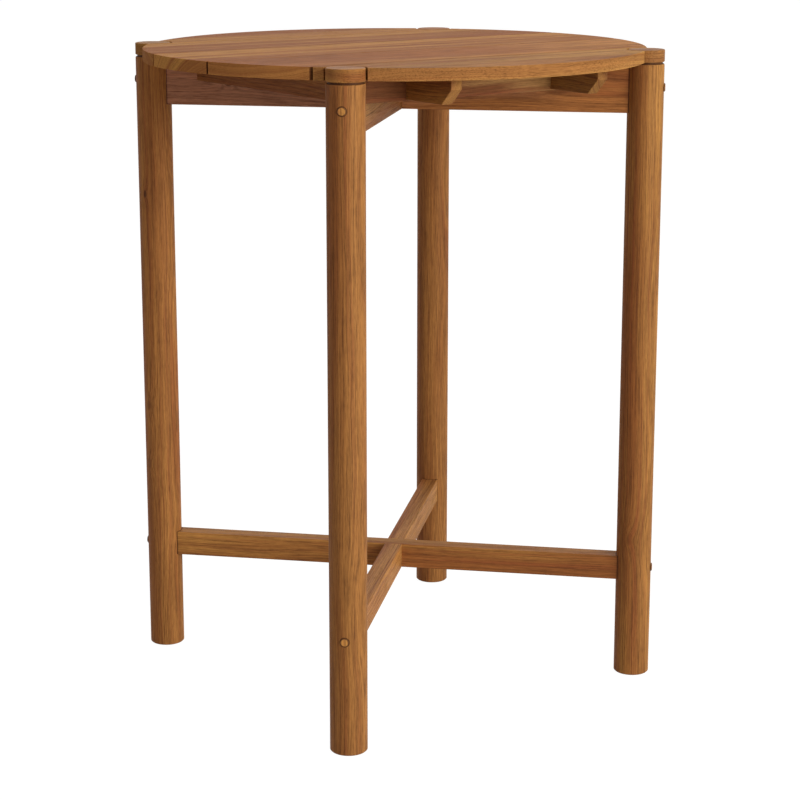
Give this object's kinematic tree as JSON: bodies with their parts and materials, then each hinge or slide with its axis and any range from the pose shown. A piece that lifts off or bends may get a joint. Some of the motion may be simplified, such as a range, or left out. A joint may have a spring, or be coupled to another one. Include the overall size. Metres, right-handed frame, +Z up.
{
  "type": "bar table",
  "caption": "Tall round slatted wooden table on round legs that rise through the rim, tied by crossed aprons and crossed low stretchers.",
  "frame": {"origin": "on the floor under the middle of the round top", "axes": "+Z up, +X along the slats, +Y across the slats towards the back"},
  "size_m": [0.84, 0.84, 1.08],
  "materials": {
    "top_wood": "oiled hardwood, straight fine grain along the slats",
    "leg_wood": "oiled hardwood, turned, grain along the leg",
    "bar_wood": "oiled hardwood, planed, grain along the bar",
    "underframe_wood": "oiled hardwood, planed",
    "plug_wood": "oiled hardwood plug",
    "dowel_wood": "plain unfinished dowel",
    "zinc_steel": "zinc plated steel"
  },
  "bodies": {
    "root": {"apron_over": "bar_wood", "apron_under": "bar_wood", "batten_left": "underframe_wood", "batten_right": "underframe_wood", "batten_screws": "zinc_steel", "cap_dowels": "dowel_wood", "lap_screws": "zinc_steel", "leg_back_left": "leg_wood", "leg_back_right": "leg_wood", "leg_cap_back_left": "top_wood", "leg_cap_back_right": "top_wood", "leg_cap_front_left": "top_wood", "leg_cap_front_right": "top_wood", "leg_front_left": "leg_wood", "leg_front_right": "leg_wood", "lower_barrel_nuts": "zinc_steel", "lower_bolts": "zinc_steel", "lower_plugs": "plug_wood", "lower_washers": "zinc_steel", "rail_back": "underframe_wood", "rail_front": "underframe_wood", "rail_left": "underframe_wood", "rail_right": "underframe_wood", "rail_screws": "zinc_steel", "stretcher_over": "bar_wood", "stretcher_under": "bar_wood", "top_slat_1": "top_wood", "top_slat_2": "top_wood", "top_slat_3": "top_wood", "top_slat_4": "top_wood", "top_slat_5": "top_wood", "upper_barrel_nuts": "zinc_steel", "upper_bolts": "zinc_steel", "upper_plugs": "plug_wood", "upper_washers": "zinc_steel"}
  },
  "joints": []
}
